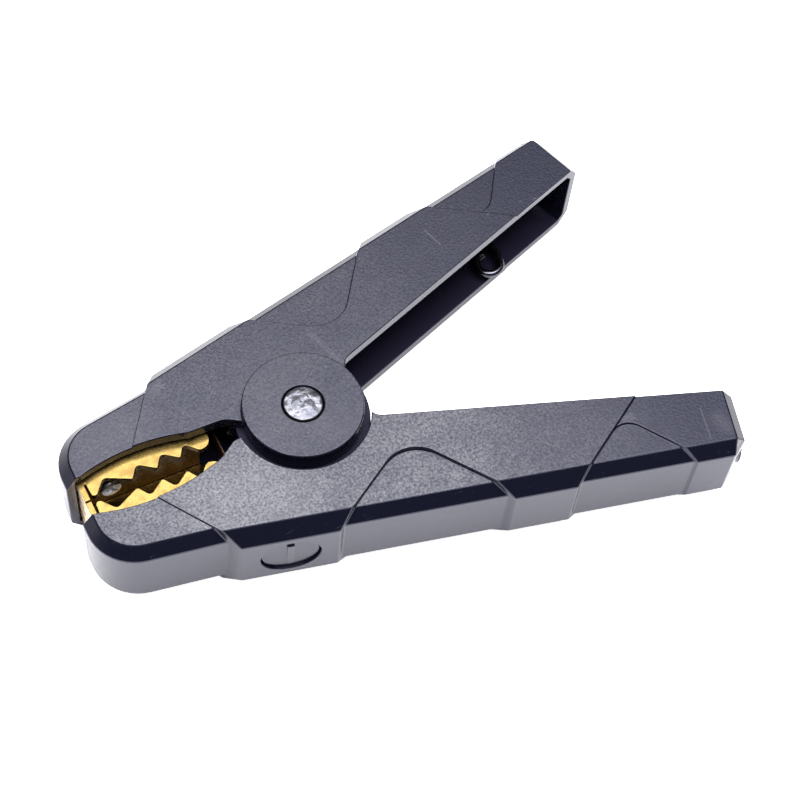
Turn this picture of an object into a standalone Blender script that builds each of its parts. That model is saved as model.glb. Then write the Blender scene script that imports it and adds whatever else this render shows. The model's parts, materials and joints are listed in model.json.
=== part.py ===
"""Spring-loaded ground clamp: two identical insulated halves on one rivet.

The jaws point along -X and the handles along +X. The upper half lies on the +Y side,
and the lower half is the same set of pieces turned 180 degrees about X, so each half
has an outer ear on one face and an inner ear on the other. The pieces are modelled in
millimetres with the pivot on the Z axis. finish turns them into metres, and the pivot's
empties put the clamp on the plane it rests on, with the origin under its middle.
"""
import math

import bmesh
import bpy
from mathutils import Matrix, Vector

MM = 0.001
GAP = 0.3
CENTRE = (0.0, 0.0, 0.0)
UP = (0.0, 0.0, 1.0)
PIVOT_AT = (-19.324, 0.0, 13.9)

# Levels of the moulding, measured from its middle plane
WALL_Z = 7.65
RAISED_Z = 11.5
WINDOW_Z = 10.4
CAP_Z = 11.0
NOSE_Z = 10.9
CAVITY_Z = 8.7
CAVITY_WALL_Z = 7.1
DISC_Z = 13.9

# Outer wall: one straight line, and how far each level lies inside it
WALL_START = (-26.7, 25.0)
WALL_ANGLE = 13.3
RAISED_CHAMFER = 3.35
WINDOW_INSET = 1.15
WINDOW_CHAMFER = 2.75
CAP_INSET = 0.7
CAP_CHAMFER = 2.6
CAVITY_INSET = 2.9
CAVITY_FILLET = 1.6

# Nose: a straight flank, a round corner and a flat front
NOSE_LINE = ((-43.7, 19.5), 9.9)
NOSE_FRONT_X = -55.7
NOSE_CORNER_R = 11.5
NOSE_CHAMFER = 2.5
NOSE_LIP_Y = 4.8
FRONT_WALL = 2.2
NOSE_WALL = 2.4

# Handle: inner edge, end face and the slanted step lines between the levels
HANDLE_LINE = ((16.5, 9.0), 19.65)
END_LINE = ((94.5, 36.3), 107.0)
END_CHAMFER = 2.93
END_WALL = 2.2
END_CORNER_CUT = (3.4, 3.5)
CAVITY_CORNER_R = 3.0
HANDLE_ROOT_X = 14.6
RISE_LINES = {
    "nose": ((-38.8, 7.0), 56.1),
    "window_1_front": ((-4.85, 30.1), -31.5),
    "window_1_rear": ((34.4, 39.4), 54.5),
    "window_2_front": ((48.9, 42.9), -31.5),
    "window_2_rear": ((77.7, 49.3), 56.0),
}
WINDOW_1_R = 8.6
WINDOW_2_R = 4.5

# Mouth edge of the cheeks: one long arc, then a different end at each ear
MOUTH_CENTRE = (-38.8, -38.0)
MOUTH_R = 45.0
MOUTH_START_X = -52.2
MOUTH_END_X = -26.0
MOUTH_INNER_EAR = [(-22.3, 4.1, 8.0), (-17.6, 0.9, 3.0), (-12.0, 0.9)]
MOUTH_OUTER_EAR = [(-17.3, 5.0, 5.5), (-12.0, 1.5)]

# Pivot
OUTER_EAR_R = 14.0
OUTER_EAR_Z = 9.0
INNER_EAR_R = 15.7
INNER_EAR_Z = (5.4, 8.4)
TONGUE_INSET = 4.5
RIVET_R = 2.9
RIVET_HEAD_R = 4.57
RIVET_SEAT_Z = 11.0
RIVET_SEAT_R = 4.87
SLEEVE_R = 4.6
WASHER_T = 1.0

# Cable bolt, on an axis square to the outer wall; depths run inward from the wall
BOLT_X = -15.7
BOLT_R = 2.5
BOLT_BOSS_HALF = 8.5
BOLT_BOSS_DEPTH = 11.0
BOLT_SEAT_R = 5.5
BOLT_SEAT_DEPTH = 8.7
BOLT_HEAD_R = 4.4
BOLT_END = 20.4
WASHER_R = 5.0
LOCK_WASHER_R = 4.3
LOCK_WASHER_T = 1.2
NUT_R = 4.6
NUT_T = 3.6
PLUG_HALF_LENGTH = 6.65
PLUG_HALF_HEIGHT = 5.5
PLUG_TOP = 0.7
PLUG_BOTTOM = 4.3
PLUG_RIB_HALF = 0.85
PLUG_RIB_RISE = 0.45
PLUG_RIB_END = -4.0
TAIL_HALF = 5.6
TAIL_DEPTH = 11.3
LUG_DEPTH = 13.1

# Jaw: tooth tips and the notches between them, both measured from the closing plane
JAW_Z = 8.0
JAW_SHEET = 1.5
JAW_FRONT_X = -53.2
JAW_WEB_Y = 6.2
JAW_REAR_X = -21.6
JAW_WEB_REAR_X = -26.0
TAIL_Z = 5.0
CLOSING_GAP = 0.15
TOOTH_TIPS = [(-50.5, 0.75), (-41.3, 1.15), (-35.3, 1.35), (-29.5, 1.7)]
TOOTH_NOTCHES = [(-47.2, 4.1), (-39.2, 4.2), (-33.2, 4.5), (-27.6, 4.8)]
LAST_TIP = (-24.9, 1.8)
SCREW_X = -45.4
SCREW_R = 1.75
SCREW_HEAD_R = 2.6
SCREW_HEAD_T = 1.15
SCREW_SLOT = 0.35
SCREW_END = 15.6
SCREW_BOSS_R = 3.6
SCREW_BOSS_END = 17.6

# Torsion spring: coil between the inner ears, and two legs that end in a curl
WIRE_R = 1.0
COIL_R = 8.5
COIL_HALF_TURNS = 4
COIL_Z = 3.9
LEG_ANGLE = 28.0
LEG_STRAIGHT = 20.0
CURL_CENTRE = (66.5, 29.2)
CURL_R = 3.1
CURL_START = -20.0
CURL_SWEEP = -250.0
CURL_Z = -6.3

# Braid: it leaves the upper bolt and bends down in front of the coil
BRAID_Z = 3.5
BRAID_T = 1.0
BRAID_HALF = 4.6
BRAID_BENDS = [(-17.9, 11.9), (-18.7, 9.8), (-19.0, 7.0), (-19.1, 3.5)]
BRAID_MIDDLE = (-19.1, 0.0)

# Cable hole and its collar in the end wall, and the ribs inside the handle
CABLE_SHIFT = 0.6
CABLE_R = 4.0
COLLAR_R = 4.6
COLLAR_RISE = 0.35
RIB_X = (30.0, 45.0, 76.0)
RIB_WIDTH = 1.6
RIB_HEIGHT = 1.6


# ---------------------------------------------------------------- plane geometry
def direction(angle):
    """Unit vector at an angle in degrees from +X."""
    return Vector((math.cos(math.radians(angle)), math.sin(math.radians(angle))))


def shifted(line, inset):
    """The same line moved to its right-hand side, which is inward for the walls."""
    point, angle = line
    return Vector(point) + direction(angle - 90.0) * inset, angle


def meet(line_a, line_b):
    """Corner where two lines cross; a line is a point and an angle."""
    start, along = Vector(line_a[0]), direction(line_a[1])
    other, across = Vector(line_b[0]), direction(line_b[1])
    reach = (other - start).cross(across) / along.cross(across)
    return tuple(start + along * reach)


def at_x(line, x):
    """Point of a line at a given x."""
    return meet(line, ((x, 0.0), 90.0))


def wall(inset):
    """Outer wall line, moved inward."""
    return shifted((WALL_START, WALL_ANGLE), inset)


def rounded(corners, segments=5):
    """Outline whose corners may carry a radius as a third value, drawn as an arc."""
    points = []
    for index, corner in enumerate(corners):
        here = Vector(corner[:2])
        if len(corner) == 2:
            points.append(tuple(here))
            continue
        to_last = (Vector(corners[index - 1][:2]) - here).normalized()
        to_next = (Vector(corners[(index + 1) % len(corners)][:2]) - here).normalized()
        half = to_last.angle(to_next) / 2.0
        centre = here + (to_last + to_next).normalized() * corner[2] / math.sin(half)
        first = here + to_last * corner[2] / math.tan(half) - centre
        last = here + to_next * corner[2] / math.tan(half) - centre
        sweep = math.atan2(first.cross(last), first.dot(last))
        for step in range(segments + 1):
            turn = Matrix.Rotation(sweep * step / segments, 2)
            points.append(tuple(centre + turn @ first))
    return points


def mouth_arc(first_x, last_x, steps):
    """Points of the cheeks' long mouth edge between two x positions."""
    points = []
    for step in range(steps + 1):
        x = first_x + (last_x - first_x) * step / steps
        rise = math.sqrt(MOUTH_R ** 2 - (x - MOUTH_CENTRE[0]) ** 2)
        points.append((x, MOUTH_CENTRE[1] + rise))
    return points


def bolt_point(depth, along=0.0):
    """Point on the cable bolt's axis at a depth, moved sideways along the wall."""
    start = Vector(at_x(wall(0.0), BOLT_X))
    return start + direction(WALL_ANGLE - 90.0) * depth + direction(WALL_ANGLE) * along


# ---------------------------------------------------------------- solids
def mesh_object(name, vertices, faces):
    """Closed mesh object from vertices in millimetres, with its faces pointing out."""
    mesh = bpy.data.meshes.new(name)
    mesh.from_pydata([Vector(vertex) for vertex in vertices], [], faces)
    body = bmesh.new()
    body.from_mesh(mesh)
    bmesh.ops.recalc_face_normals(body, faces=body.faces)
    body.to_mesh(mesh)
    body.free()
    thing = bpy.data.objects.new(name, mesh)
    bpy.context.scene.collection.objects.link(thing)
    return thing


def loft(name, levels):
    """Solid through flat outlines of equal length; each level is (outline, z)."""
    count = len(levels[0][0])
    vertices = [(x, y, z) for outline, z in levels for x, y in outline]
    faces = [list(range(count)), list(range(len(vertices) - count, len(vertices)))]
    for level in range(len(levels) - 1):
        low = level * count
        for index in range(count):
            after = (index + 1) % count
            faces.append([low + index, low + after, low + count + after, low + count + index])
    return mesh_object(name, vertices, faces)


def prism(name, outline, z_low, z_high):
    """Upright solid with one outline."""
    return loft(name, [(outline, z_low), (outline, z_high)])


def chamfered(name, outline_at, chamfer, z_wall, z_top):
    """Solid whose outer edges are chamfered towards both faces."""
    middle, face = outline_at(0.0), outline_at(chamfer)
    return loft(name, [(face, -z_top), (middle, -z_wall), (middle, z_wall), (face, z_top)])


def turned(name, profile, origin=CENTRE, axis=UP, sides=32):
    """Solid of revolution. The profile lists (radius, height); radius 0 is on the axis."""
    spin = Vector(axis).to_track_quat("Z", "Y").to_matrix()
    vertices, rings = [], []
    for radius, height in profile:
        ring = []
        for side in range(sides if radius else 1):
            angle = 2.0 * math.pi * side / sides
            spot = Vector((radius * math.cos(angle), radius * math.sin(angle), height))
            ring.append(len(vertices))
            vertices.append(Vector(origin) + spin @ spot)
        rings.append(ring)
    pairs = list(zip(rings, rings[1:]))
    if profile[0][0]:
        pairs.append((rings[-1], rings[0]))
    faces = []
    for low, high in pairs:
        for side in range(sides):
            after = (side + 1) % sides
            corners = [low[side % len(low)], low[after % len(low)]]
            corners += [high[after % len(high)], high[side % len(high)]]
            faces.append(list(dict.fromkeys(corners)))
    return mesh_object(name, vertices, faces)


def cylinder(name, radius, low, high, origin=CENTRE, axis=UP, sides=32):
    """Plain disc or rod between two heights on an axis."""
    profile = [(0.0, low), (radius, low), (radius, high), (0.0, high)]
    return turned(name, profile, origin, axis, sides)


def ring(name, outer, inner, low, high, origin=CENTRE, axis=UP, sides=32):
    """Flat washer or tube."""
    profile = [(outer, low), (outer, high), (inner, high), (inner, low)]
    return turned(name, profile, origin, axis, sides)


def stepped_bore(start, steps, origin=CENTRE, axis=UP, sides=32):
    """Cutter for a bore that narrows; each step is (radius, height where it ends)."""
    profile = [(0.0, start)]
    for radius, end in steps:
        profile += [(radius, start), (radius, end)]
        start = end
    return turned("bore", profile + [(0.0, start)], origin, axis, sides)


def combine(target, tool, operation):
    """Apply one exact Boolean to the target, remove the tool and clean the faces."""
    modifier = target.modifiers.new(operation, "BOOLEAN")
    modifier.operation = operation
    modifier.object = tool
    bpy.context.view_layer.objects.active = target
    bpy.ops.object.modifier_apply(modifier=modifier.name)
    bpy.data.objects.remove(tool)
    tidy_faces(target)


def add(target, *tools):
    """Join solids to the target."""
    for tool in tools:
        combine(target, tool, "UNION")


def cut(target, *tools):
    """Remove solids from the target."""
    for tool in tools:
        combine(target, tool, "DIFFERENCE")


def tidy_faces(thing):
    """Merge coplanar facets, so that flat faces are single faces."""
    body = bmesh.new()
    body.from_mesh(thing.data)
    bmesh.ops.remove_doubles(body, verts=body.verts, dist=0.001)
    limit = math.radians(0.3)
    bmesh.ops.dissolve_limit(body, angle_limit=limit, verts=body.verts, edges=body.edges)
    body.to_mesh(thing.data)
    body.free()


# ---------------------------------------------------------------- moulded half
def raised_outline(inset):
    """Pivot region and main band: one raised skin with the first window notched out."""
    lines = RISE_LINES
    apex = meet(lines["window_1_front"], lines["window_1_rear"])
    corners = [
        lines["nose"][0],
        meet(lines["nose"], wall(inset)),
        meet(lines["window_1_front"], wall(inset)),
        (*apex, WINDOW_1_R),
        meet(lines["window_1_rear"], wall(inset)),
        meet(lines["window_2_front"], wall(inset)),
        meet(lines["window_2_front"], HANDLE_LINE),
        (*at_x(HANDLE_LINE, HANDLE_ROOT_X), 3.2),
        (13.2, 4.4),
    ]
    rear = mouth_arc(MOUTH_END_X, MOUTH_CENTRE[0], 5)
    return rounded(corners + MOUTH_INNER_EAR[::-1] + rear[:-1], 8)


def nose_outline(inset):
    """Nose, with its flat front, round corner and flank, running in under the raised skin."""
    flank = shifted(NOSE_LINE, inset)
    front_x = NOSE_FRONT_X + inset
    corners = [
        (front_x, NOSE_LIP_Y),
        (*at_x(flank, front_x), NOSE_CORNER_R - inset),
        at_x(flank, -26.0),
        (-26.0, 12.0),
        (-34.0, 8.0),
    ]
    return rounded(corners + mouth_arc(MOUTH_CENTRE[0], MOUTH_START_X, 6), 10)


def core_outline(inset):
    """Window level, which shows only where the raised skin and the cap leave it open."""
    line = wall(WINDOW_INSET + inset)
    return [at_x(line, -12.0), at_x(line, 78.5), (76.0, 37.0), (16.0, 15.5), (-12.0, 14.0)]


def cap_outline(inset):
    """End cap of the handle; its outer corner is cut off, and sharp again at the face."""
    lines = RISE_LINES
    share = inset / CAP_CHAMFER
    line = wall(CAP_INSET + inset)
    end = (Vector(END_LINE[0]) - direction(END_LINE[1] - 90.0) * END_CHAMFER * share, END_LINE[1])
    corner = Vector(meet(line, end))
    along_wall, along_end = [max(0.15, size * (1.0 - share)) for size in END_CORNER_CUT]
    corners = [
        meet(lines["window_2_rear"], line),
        tuple(corner - direction(WALL_ANGLE) * along_wall),
        tuple(corner - direction(END_LINE[1]) * along_end),
        meet(HANDLE_LINE, end),
        at_x(HANDLE_LINE, 64.0),
        (57.0, 33.0),
        at_x(lines["window_2_front"], 60.0),
        (*meet(lines["window_2_front"], lines["window_2_rear"]), WINDOW_2_R),
    ]
    return rounded(corners)


def cavity_outline(inset):
    """Hollow of the half, open along its inner side."""
    flank = shifted(NOSE_LINE, NOSE_WALL + inset)
    line = wall(CAVITY_INSET + inset)
    front_x = NOSE_FRONT_X + FRONT_WALL
    end = (Vector(END_LINE[0]) - direction(END_LINE[1] - 90.0) * (END_WALL + inset), END_LINE[1])
    below = ((0.0, -20.0), 0.0)
    corners = [
        (front_x, -20.0),
        (*at_x(flank, front_x), NOSE_CORNER_R - FRONT_WALL),
        at_x(flank, -30.5),
        at_x(line, -27.0),
        (*meet(line, end), CAVITY_CORNER_R),
        meet(end, below),
    ]
    return rounded(corners)


def moulding_body(name):
    """Outside of the half: raised skin, nose, end cap and window level."""
    body = chamfered(name, raised_outline, RAISED_CHAMFER, WALL_Z, RAISED_Z)
    add(
        body,
        chamfered("nose", nose_outline, NOSE_CHAMFER, WALL_Z, NOSE_Z),
        chamfered("cap", cap_outline, CAP_CHAMFER, WALL_Z, CAP_Z),
        chamfered("core", core_outline, WINDOW_CHAMFER, WALL_Z, WINDOW_Z),
    )
    cut(body, chamfered("cavity", cavity_outline, CAVITY_FILLET, CAVITY_WALL_Z, CAVITY_Z))
    return body


def add_inner_ear(body):
    """Lower face: a sunken ear, joined to the cheek outside a round relief."""
    near, far = INNER_EAR_Z
    arc = [tuple(direction(angle) * (INNER_EAR_R - 0.2)) for angle in range(62, 151, 8)]
    tongue = arc + [at_x(wall(TONGUE_INSET), -22.0), at_x(wall(TONGUE_INSET), 8.0)]
    add(
        body,
        cylinder("ear", INNER_EAR_R, -far - 0.2, -near, sides=64),
        prism("tongue", tongue, -CAVITY_Z - 0.5, -near),
    )
    cut(
        body,
        cylinder("relief", INNER_EAR_R + 0.05, -DISC_Z, -far, sides=64),
        cylinder("sleeve_hole", SLEEVE_R + GAP, -DISC_Z, 0.0, sides=32),
    )


def add_outer_ear(body):
    """Upper face: trim the cheek to the outer ear's shape and add the proud disc."""
    edge = mouth_arc(MOUTH_END_X, MOUTH_END_X, 1)[:1]
    trim = rounded(edge + MOUTH_OUTER_EAR + [(-11.0, -2.0), (-17.0, -2.0), (-27.0, 3.0)])
    cut(body, prism("trim", trim, CAVITY_Z - 2.0, RAISED_Z + 2.0))
    add(body, cylinder("disc", OUTER_EAR_R, OUTER_EAR_Z, DISC_Z, sides=64))
    top = -DISC_Z - 1.0
    steps = [(RIVET_SEAT_R, -RIVET_SEAT_Z), (RIVET_R + GAP, -1.0)]
    cut(body, stepped_bore(top, steps, axis=(0.0, 0.0, -1.0)))


def oval(name, margin, shallow, deep, sides=40):
    """Oval solid across the bolt's axis, between two depths from the wall."""
    length, height = PLUG_HALF_LENGTH + margin, PLUG_HALF_HEIGHT + margin
    vertices = []
    for depth in (shallow, deep):
        for side in range(sides):
            out = direction(360.0 * side / sides)
            vertices.append((*bolt_point(depth, out.x * length), out.y * height))
    faces = [list(range(sides)), list(range(sides, 2 * sides))]
    for side in range(sides):
        after = (side + 1) % sides
        faces.append([side, after, sides + after, sides + side])
    return mesh_object(name, vertices, faces)


def add_bolt_boss(body):
    """Solid boss behind the outer wall, bored for the plug, the bolt's head and its shank."""
    reach = BOLT_BOSS_HALF
    spots = [(1.5, -reach), (1.5, reach), (BOLT_BOSS_DEPTH, reach), (BOLT_BOSS_DEPTH, -reach)]
    outline = [tuple(bolt_point(depth, along)) for depth, along in spots]
    add(body, prism("boss", outline, -CAVITY_Z - 0.3, CAVITY_Z + 0.3))
    origin = (*bolt_point(0.0), 0.0)
    axis = (*direction(WALL_ANGLE - 90.0), 0.0)
    steps = [(BOLT_SEAT_R, BOLT_SEAT_DEPTH), (BOLT_R + GAP, 15.0)]
    cut(body, stepped_bore(-3.0, steps, origin, axis, 36))
    cut(body, oval("plug_seat", GAP, -3.0, PLUG_BOTTOM + GAP))


def add_screw_boss(body):
    """Round boss in the nose for the jaw's front screw."""
    web_back = JAW_WEB_Y + JAW_SHEET
    origin, axis = (SCREW_X, 0.0, 0.0), (0.0, 1.0, 0.0)
    add(body, cylinder("screw_boss", SCREW_BOSS_R, web_back + GAP, SCREW_BOSS_END, origin, axis, 24))
    cut(body, cylinder("screw_hole", SCREW_R + GAP, 0.0, SCREW_END + GAP, origin, axis, 20))


def add_cable_end(body):
    """Round cable hole through the end wall, with a low collar round it."""
    outer = Vector(meet(wall(CAP_INSET), END_LINE))
    inner = Vector(meet(HANDLE_LINE, END_LINE))
    middle = (outer + inner) / 2.0 + direction(END_LINE[1]) * CABLE_SHIFT
    origin = (*middle, 0.0)
    axis = (*direction(END_LINE[1] - 90.0), 0.0)
    add(body, cylinder("collar", COLLAR_R, -END_WALL, COLLAR_RISE, origin, axis, 40))
    cut(body, cylinder("cable_hole", CABLE_R, -8.0, 4.0, origin, axis, 40))


def add_ribs(body):
    """Low ribs across the inside of the outer wall."""
    side = direction(WALL_ANGLE) * RIB_WIDTH / 2.0
    rise = direction(WALL_ANGLE - 90.0)
    for x in RIB_X:
        start = Vector(at_x(wall(CAVITY_INSET), x))
        foot, tip = start - rise * 0.5, start + rise * RIB_HEIGHT
        outline = [tuple(foot - side), tuple(foot + side), tuple(tip + side), tuple(tip - side)]
        add(body, prism("rib", outline, -CAVITY_Z - 0.2, CAVITY_Z + 0.2))


def shell():
    """One insulating half."""
    body = moulding_body("upper_shell")
    add_inner_ear(body)
    add_outer_ear(body)
    add_bolt_boss(body)
    add_screw_boss(body)
    add_cable_end(body)
    add_ribs(body)
    return body


# ---------------------------------------------------------------- metal pieces of a half
def jaw_outline():
    """Side view of the jaw's toothed flanges, out to the back of the web."""
    inner_x = JAW_FRONT_X + JAW_SHEET
    corners = [(JAW_FRONT_X, CLOSING_GAP), (inner_x, CLOSING_GAP)]
    corners += [(inner_x, 4.4), (inner_x + 0.3, 4.4)]
    first_tip = TOOTH_TIPS[0]
    corners.append((inner_x + 0.5, first_tip[1], 0.8))
    corners.append((first_tip[0] + 0.6, first_tip[1], 0.7))
    for notch, tip in zip(TOOTH_NOTCHES, TOOTH_TIPS[1:]):
        corners.append((*notch, 0.9))
        corners.append((tip[0], tip[1], 0.5))
    corners.append((*TOOTH_NOTCHES[-1], 0.8))
    corners.append((*LAST_TIP, 1.4))
    corners.append((JAW_REAR_X, LAST_TIP[1], 2.5))
    back = JAW_WEB_Y + JAW_SHEET
    corners += [(JAW_REAR_X, 5.4, 1.2), (JAW_WEB_REAR_X, back), (JAW_FRONT_X, back)]
    return rounded(corners, 4)


def jaw_tail_outline():
    """Strip from the web to the cable bolt, bent twice."""
    depth, sheet = TAIL_DEPTH, JAW_SHEET
    back = JAW_WEB_Y + sheet
    left, right = -TAIL_HALF, TAIL_HALF
    return [
        (JAW_WEB_REAR_X - 4.0, JAW_WEB_Y),
        (JAW_WEB_REAR_X + 0.6, JAW_WEB_Y),
        tuple(bolt_point(depth + sheet, left + 0.6)),
        tuple(bolt_point(depth + sheet, right)),
        tuple(bolt_point(depth, right)),
        tuple(bolt_point(depth, left)),
        (JAW_WEB_REAR_X, back),
        (JAW_WEB_REAR_X - 4.0, back),
    ]


def jaw():
    """Toothed brass channel that bites the work, with a tail for the cable bolt."""
    body = prism("upper_jaw", jaw_outline(), -JAW_Z, JAW_Z)
    inner_x = JAW_FRONT_X + JAW_SHEET
    pocket = [(inner_x, -4.0), (-18.0, -4.0), (-18.0, JAW_WEB_Y), (inner_x, JAW_WEB_Y)]
    cut(body, prism("pocket", pocket, -JAW_Z + JAW_SHEET, JAW_Z - JAW_SHEET))
    add(body, prism("tail", jaw_tail_outline(), -TAIL_Z, TAIL_Z))
    screw_at, screw_axis = (SCREW_X, 0.0, 0.0), (0.0, 1.0, 0.0)
    cut(body, cylinder("screw_hole", SCREW_R + GAP, 4.0, 9.0, screw_at, screw_axis, 20))
    origin = (*bolt_point(0.0), 0.0)
    axis = (*direction(WALL_ANGLE - 90.0), 0.0)
    cut(body, cylinder("bolt_hole", BOLT_R + GAP, TAIL_DEPTH - 2.0, 16.0, origin, axis, 24))
    return body


def jaw_screw():
    """Pan-head screw that holds the jaw's web to the nose."""
    seat, radius = JAW_WEB_Y - GAP, SCREW_HEAD_R
    top = seat - SCREW_HEAD_T
    profile = [(0.0, top), (radius * 0.6, top + 0.05), (radius * 0.9, top + 0.3)]
    profile += [(radius, top + 0.65), (radius, seat), (SCREW_R, seat)]
    profile += [(SCREW_R, SCREW_END - 1.0), (0.8, SCREW_END), (0.0, SCREW_END)]
    body = turned("upper_jaw_screw", profile, (SCREW_X, 0.0, 0.0), (0.0, 1.0, 0.0), 24)
    left, right = SCREW_X - SCREW_SLOT, SCREW_X + SCREW_SLOT
    slot = [(left, 0.0), (right, 0.0), (right, top + 0.5), (left, top + 0.5)]
    cut(body, prism("slot", slot, -4.0, 4.0))
    return body


def on_bolt(function, name, *sizes, sides=32):
    """Make a round piece on the cable bolt's axis; its heights are depths from the wall."""
    origin = (*bolt_point(0.0), 0.0)
    axis = (*direction(WALL_ANGLE - 90.0), 0.0)
    return function(name, *sizes, origin, axis, sides)


def cable_bolt():
    """Round-head bolt that clamps the cable's lug, the braid and the jaw's tail."""
    seat = BOLT_SEAT_DEPTH - GAP - WASHER_T - GAP
    top = PLUG_BOTTOM + 2.0 * GAP
    profile = [(0.0, top), (BOLT_HEAD_R - 0.8, top), (BOLT_HEAD_R, top + 0.8)]
    profile += [(BOLT_HEAD_R, seat), (BOLT_R, seat), (BOLT_R, BOLT_END - 0.6)]
    profile += [(BOLT_R - 0.6, BOLT_END), (0.0, BOLT_END)]
    return on_bolt(turned, "upper_cable_bolt", profile, sides=24)


def bolt_stack():
    """Washers and nut on the cable bolt."""
    bore = BOLT_R + GAP
    low = BOLT_SEAT_DEPTH - GAP - WASHER_T
    washer = on_bolt(ring, "upper_bolt_washer", WASHER_R, bore, low, low + WASHER_T, sides=28)
    low = LUG_DEPTH + BRAID_T + GAP
    high = low + LOCK_WASHER_T
    lock_washer = on_bolt(ring, "upper_lock_washer", LOCK_WASHER_R, bore, low, high, sides=24)
    low = high + GAP
    high = low + NUT_T
    nut = on_bolt(cylinder, "upper_bolt_nut", NUT_R, low, high, sides=6)
    cut(nut, on_bolt(cylinder, "nut_bore", bore, low - 1.0, high + 1.0, sides=24))
    return [washer, lock_washer, nut]


def bolt_plug():
    """Oval insulating plug that closes the bore over the bolt's head, with a low rib."""
    plug = oval("upper_bolt_plug", 0.0, PLUG_TOP, PLUG_BOTTOM)
    half, top = PLUG_RIB_HALF, PLUG_TOP - PLUG_RIB_RISE
    spots = [(top, -half), (top, half), (PLUG_TOP + 0.5, half), (PLUG_TOP + 0.5, -half)]
    outline = [tuple(bolt_point(depth, along)) for depth, along in spots]
    add(plug, prism("rib", outline, PLUG_RIB_END, PLUG_HALF_HEIGHT - 0.5))
    return plug


# ---------------------------------------------------------------- pieces shared by the halves
def pivot_rivet():
    """Rivet with a domed head on top and a peened end over the washer below."""
    seat = RIVET_SEAT_Z + GAP
    peened = -(seat + WASHER_T + GAP)
    rim = RIVET_HEAD_R
    profile = [(0.0, -DISC_Z + 0.3), (2.6, -DISC_Z + 0.4), (3.7, -DISC_Z + 0.8)]
    profile += [(3.9, peened), (RIVET_R, peened), (RIVET_R, seat), (rim, seat)]
    profile += [(rim, DISC_Z - 0.3), (rim - 0.25, DISC_Z + 0.05), (rim - 1.1, DISC_Z + 0.4)]
    profile += [(rim - 2.7, DISC_Z + 0.67), (0.0, DISC_Z + 0.75)]
    return turned("pivot_rivet", profile, sides=32)


def pivot_rings():
    """Washer under the peened end and the sleeve that the coil and inner ears run on."""
    seat = RIVET_SEAT_Z + GAP
    washer = ring("rivet_washer", RIVET_SEAT_R - 0.4, RIVET_R + GAP, -seat - WASHER_T, -seat)
    reach = CAVITY_Z - GAP
    sleeve = ring("pivot_sleeve", SLEEVE_R, RIVET_R + GAP, -reach, reach)
    return [washer, sleeve]


def sweep(centre, radius, start, turn, steps):
    """Points after the first on an arc, angles in degrees."""
    angles = [start + turn * (step + 1) / steps for step in range(steps)]
    return [Vector(centre) + direction(angle) * radius for angle in angles]


def half_spring_path():
    """Centreline from the middle of the coil to the curled end in the upper handle."""
    side = direction(LEG_ANGLE + 90.0)
    leave = LEG_ANGLE + 90.0
    half_turn = 180.0 * COIL_HALF_TURNS - leave
    steps = 34
    path = []
    for step in range(steps + 1):
        share = step / steps
        spot = direction(leave + half_turn * (1.0 - share)) * COIL_R
        path.append((*spot, -COIL_Z * share))
    path.append((*(side * COIL_R + direction(LEG_ANGLE) * LEG_STRAIGHT), -COIL_Z))
    # The bend between the leg and the curl touches both, which settles its radius
    curl, inward = Vector(CURL_CENTRE), direction(CURL_START)
    lean = side.dot(inward)
    bend_r = (COIL_R - side.dot(curl) - CURL_R * lean) / (1.0 - lean)
    bend = curl - inward * (bend_r - CURL_R)
    path.append((*(bend + side * bend_r), CURL_Z))
    end = sweep(bend, bend_r, leave, CURL_START - leave, 8)
    end += sweep(curl, CURL_R, CURL_START, CURL_SWEEP, 11)
    return path + [(*spot, CURL_Z) for spot in end]


def wire(name, path, radius):
    """Round wire along a path."""
    curve = bpy.data.curves.new(name, "CURVE")
    curve.dimensions = "3D"
    curve.resolution_u = 1
    curve.render_resolution_u = 0
    curve.bevel_depth = radius
    curve.bevel_resolution = 2
    curve.use_fill_caps = True
    line = curve.splines.new("POLY")
    line.points.add(len(path) - 1)
    for point, spot in zip(line.points, path):
        point.co = (*spot, 1.0)
    thing = bpy.data.objects.new(name, curve)
    bpy.context.scene.collection.objects.link(thing)
    return thing


def torsion_spring():
    """Coil round the sleeve; each leg runs down a handle and ends in a curl."""
    half = half_spring_path()
    mirrored = [(x, -y, -z) for x, y, z in half[:0:-1]]
    return wire("torsion_spring", mirrored + half, WIRE_R)


def braid_centreline():
    """Plan view of the braid from the upper lug round in front of the coil to the lower one."""
    depth = LUG_DEPTH + BRAID_T / 2.0
    upper = [tuple(bolt_point(depth, BRAID_HALF)), tuple(bolt_point(depth, 0.5 - BRAID_HALF))]
    upper += BRAID_BENDS
    return upper + [BRAID_MIDDLE] + [(x, -y) for x, y in reversed(upper)]


def bonding_braid():
    """Flexible copper braid that carries current from one jaw to the other."""
    line = [Vector(point) for point in braid_centreline()]
    left, right = [], []
    for index, here in enumerate(line):
        before, after = line[max(index - 1, 0)], line[min(index + 1, len(line) - 1)]
        along = (after - before).normalized()
        side = Vector((-along.y, along.x)) * BRAID_T / 2.0
        left.append(tuple(here + side))
        right.append(tuple(here - side))
    body = prism("bonding_braid", left + right[::-1], -BRAID_Z, BRAID_Z)
    for sign in (1.0, -1.0):
        origin = bolt_point(0.0)
        axis = direction(WALL_ANGLE - 90.0)
        start = (origin.x, origin.y * sign, 0.0)
        way = (axis.x, axis.y * sign, 0.0)
        cut(body, cylinder("bolt_hole", BOLT_R + 0.1, 10.0, 18.0, start, way, 20))
    return body


# ---------------------------------------------------------------- materials and assembly
def material(name, colour, roughness, metallic=0.0):
    """Principled material."""
    surface = bpy.data.materials.new(name)
    surface.use_nodes = True
    shader = surface.node_tree.nodes["Principled BSDF"]
    shader.inputs["Base Color"].default_value = (*colour, 1.0)
    shader.inputs["Roughness"].default_value = roughness
    shader.inputs["Metallic"].default_value = metallic
    return surface


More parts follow.
